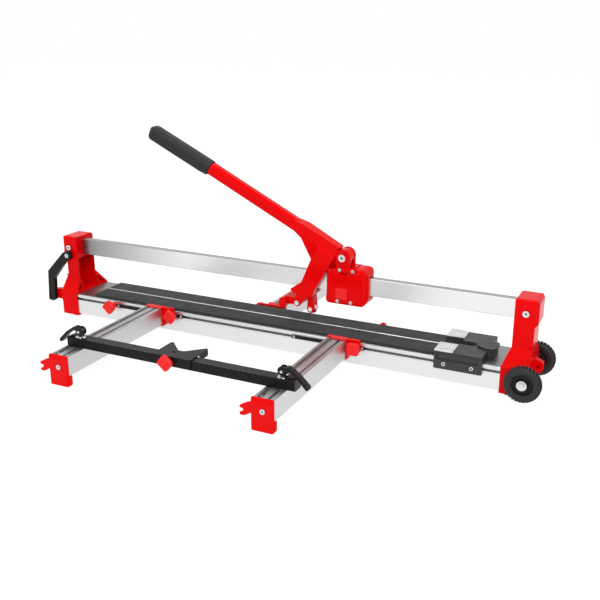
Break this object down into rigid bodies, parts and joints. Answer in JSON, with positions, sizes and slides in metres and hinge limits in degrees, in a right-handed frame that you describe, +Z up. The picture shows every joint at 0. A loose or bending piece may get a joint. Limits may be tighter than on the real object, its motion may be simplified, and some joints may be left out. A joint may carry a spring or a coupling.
{
  "type": "tile cutter",
  "caption": "Manual tile cutter: scoring lever on a rail carriage, sliding side arms with a fence, corner stop, carry handle and transport wheels.",
  "frame": {"origin": "on the floor, below the cutting line, midway between the inner faces of the two end towers", "axes": "+X along the guide rail towards the transport wheels, -Y towards the fence side, +Z up"},
  "size_m": [1.1623, 0.7586, 0.4458],
  "materials": {
    "red_castings": "gloss enamel",
    "red_plastic": "semi gloss",
    "red_knobs": "satin",
    "bed_aluminium": "fine extruded grain, anodised",
    "rail_aluminium": "brushed along its length",
    "steel_fittings": "zinc plated",
    "bearing_steel": "ground",
    "cutter_metal": "ground",
    "pad_rubber": "fine grained",
    "grip_rubber": "matte",
    "foot_rubber": "matte",
    "tyre_rubber": "matte",
    "hub_plastic": "satin",
    "handle_plastic": "satin",
    "stop_paint": "matte",
    "scale_plates": "etched",
    "guide_plastic": "satin",
    "black_paint": "satin",
    "black_plastic": "satin"
  },
  "bodies": {
    "frame": {"base_beam": "bed_aluminium", "tower_left": "red_castings", "tower_right": "red_castings", "guide_rail": "rail_aluminium", "frame_bolts": "steel_fittings", "pads": "pad_rubber", "breaking_bead": "steel_fittings", "rubber_feet": "foot_rubber", "carry_handle": "handle_plastic", "axle_bolts": "steel_fittings", "corner_stop": "stop_paint", "corner_plates": "scale_plates", "corner_index": "stop_paint"},
    "carriage": {"carriage_front": "red_castings", "carriage_rear": "red_castings", "pivot_bracket": "red_castings", "carriage_screws": "steel_fittings", "roller_pins": "steel_fittings", "pivot_bolt": "steel_fittings"},
    "roller_ll": {"roller_lower_left": "bearing_steel"},
    "roller_ul": {"roller_upper_left": "bearing_steel"},
    "roller_lr": {"roller_lower_right": "bearing_steel"},
    "roller_ur": {"roller_upper_right": "bearing_steel"},
    "lever": {"lever_arm": "red_castings", "grip": "grip_rubber", "wheel_holder": "red_castings", "lever_pins": "steel_fittings"},
    "breaker": {"breaker_foot": "red_castings"},
    "cutter": {"cutting_wheel": "cutter_metal"},
    "wheel_front": {"tyre_front": "tyre_rubber", "hub_front": "hub_plastic"},
    "wheel_rear": {"tyre_rear": "tyre_rubber", "hub_rear": "hub_plastic"},
    "side_arm_left": {"arm_left": "bed_aluminium", "cap_left": "red_plastic", "cap_screw_left": "steel_fittings", "bracket_left": "red_plastic", "guide_bar_left": "guide_plastic"},
    "side_arm_right": {"arm_right": "bed_aluminium", "cap_right": "red_plastic", "cap_screw_right": "steel_fittings", "bracket_right": "red_plastic", "guide_bar_right": "guide_plastic"},
    "side_arm_rear": {"arm_rear": "bed_aluminium", "cap_rear": "red_plastic", "cap_screw_rear": "steel_fittings", "bracket_rear": "red_plastic", "guide_bar_rear": "guide_plastic"},
    "knob_arm_left": {"knob_left": "red_knobs"},
    "knob_arm_right": {"knob_right": "red_knobs"},
    "knob_arm_rear": {"knob_rear": "red_knobs"},
    "knob_outer": {"slot_knob_front": "red_knobs"},
    "knob_spare": {"slot_knob_rear": "red_knobs"},
    "fence": {"fence_bar": "black_paint", "fence_plugs": "black_plastic", "clamp_studs": "steel_fittings"},
    "cam_l": {"cam_left": "black_plastic"},
    "cam_r": {"cam_right": "black_plastic"},
    "stop": {"stop_plate": "black_paint"},
    "knob_stop": {"stop_knob": "red_knobs"}
  },
  "joints": [
    {"name": "carriage_slide", "type": "slide", "parent": "frame", "child": "carriage", "axis": [1, 0, 0], "range_m": [-0.49, 0.275]},
    {"name": "roller_ll_spin", "type": "hinge", "parent": "carriage", "child": "roller_ll", "pos_m": [0.149, 0, 0.13095], "axis": [0, 1, 0], "range_deg": [-3600, 3600]},
    {"name": "roller_ul_spin", "type": "hinge", "parent": "carriage", "child": "roller_ul", "pos_m": [0.149, 0, 0.18305], "axis": [0, 1, 0], "range_deg": [-3600, 3600]},
    {"name": "roller_lr_spin", "type": "hinge", "parent": "carriage", "child": "roller_lr", "pos_m": [0.183, 0, 0.13095], "axis": [0, 1, 0], "range_deg": [-3600, 3600]},
    {"name": "roller_ur_spin", "type": "hinge", "parent": "carriage", "child": "roller_ur", "pos_m": [0.183, 0, 0.18305], "axis": [0, 1, 0], "range_deg": [-3600, 3600]},
    {"name": "lever_hinge", "type": "hinge", "parent": "carriage", "child": "lever", "pos_m": [0.156, 0, 0.213], "axis": [0, -1, 0], "range_deg": [-4, 12]},
    {"name": "breaker_swivel", "type": "hinge", "parent": "lever", "child": "breaker", "pos_m": [0.058, 0, 0.106], "axis": [0, 1, 0], "range_deg": [-8, 8]},
    {"name": "cutter_spin", "type": "hinge", "parent": "lever", "child": "cutter", "pos_m": [0.083, 0, 0.092], "axis": [0, 1, 0], "continuous": true},
    {"name": "wheel_front_spin", "type": "hinge", "parent": "frame", "child": "wheel_front", "pos_m": [0.5364, -0.06875, 0.0354], "axis": [0, 1, 0], "continuous": true},
    {"name": "wheel_rear_spin", "type": "hinge", "parent": "frame", "child": "wheel_rear", "pos_m": [0.5364, 0.06875, 0.0354], "axis": [0, 1, 0], "continuous": true},
    {"name": "arm_left_slide", "type": "slide", "parent": "frame", "child": "side_arm_left", "axis": [1, 0, 0], "range_m": [-0.07, 0.13]},
    {"name": "arm_right_slide", "type": "slide", "parent": "frame", "child": "side_arm_right", "axis": [1, 0, 0], "range_m": [-0.07, 0.13]},
    {"name": "arm_rear_slide", "type": "slide", "parent": "frame", "child": "side_arm_rear", "axis": [1, 0, 0], "range_m": [-0.35, 0.12]},
    {"name": "fence_slide", "type": "slide", "parent": "side_arm_left", "child": "fence", "axis": [0, 1, 0], "range_m": [-0.035, 0.19]},
    {"name": "cam_left_hinge", "type": "hinge", "parent": "fence", "child": "cam_l", "pos_m": [-0.2623, -0.317, 0.0921], "axis": [0, 1, 0], "range_deg": [0, 105]},
    {"name": "cam_right_hinge", "type": "hinge", "parent": "fence", "child": "cam_r", "pos_m": [0.1757, -0.317, 0.0921], "axis": [0, -1, 0], "range_deg": [0, 105]},
    {"name": "stop_slide", "type": "slide", "parent": "fence", "child": "stop", "axis": [1, 0, 0], "range_m": [-0.15, 0.15]},
    {"name": "stop_knob_turn", "type": "hinge", "parent": "stop", "child": "knob_stop", "pos_m": [-0.0555, -0.331, 0.0708], "axis": [0, 1, 0], "range_deg": [0, 180]},
    {"name": "knob_left_turn", "type": "hinge", "parent": "side_arm_left", "child": "knob_arm_left", "pos_m": [-0.228, -0.061, 0.045], "axis": [0, 1, 0], "range_deg": [0, 180]},
    {"name": "knob_right_turn", "type": "hinge", "parent": "side_arm_right", "child": "knob_arm_right", "pos_m": [0.203, -0.061, 0.045], "axis": [0, 1, 0], "range_deg": [0, 180]},
    {"name": "knob_rear_turn", "type": "hinge", "parent": "side_arm_rear", "child": "knob_arm_rear", "pos_m": [-0.0715, 0.061, 0.045], "axis": [0, -1, 0], "range_deg": [0, 180]},
    {"name": "knob_outer_turn", "type": "hinge", "parent": "side_arm_left", "child": "knob_outer", "pos_m": [-0.387, -0.061, 0.045], "axis": [0, 1, 0], "range_deg": [0, 180]},
    {"name": "knob_spare_turn", "type": "hinge", "parent": "frame", "child": "knob_spare", "pos_m": [0.218, 0.061, 0.045], "axis": [0, -1, 0], "range_deg": [0, 180]}
  ],
  "couplings": [
    {"joint": "arm_right_slide", "follows": "arm_left_slide", "ratio": 1},
    {"joint": "roller_ll_spin", "follows": "carriage_slide", "rad_per_m": -125},
    {"joint": "roller_lr_spin", "follows": "carriage_slide", "rad_per_m": -125},
    {"joint": "roller_ul_spin", "follows": "carriage_slide", "rad_per_m": 125},
    {"joint": "roller_ur_spin", "follows": "carriage_slide", "rad_per_m": 125}
  ]
}
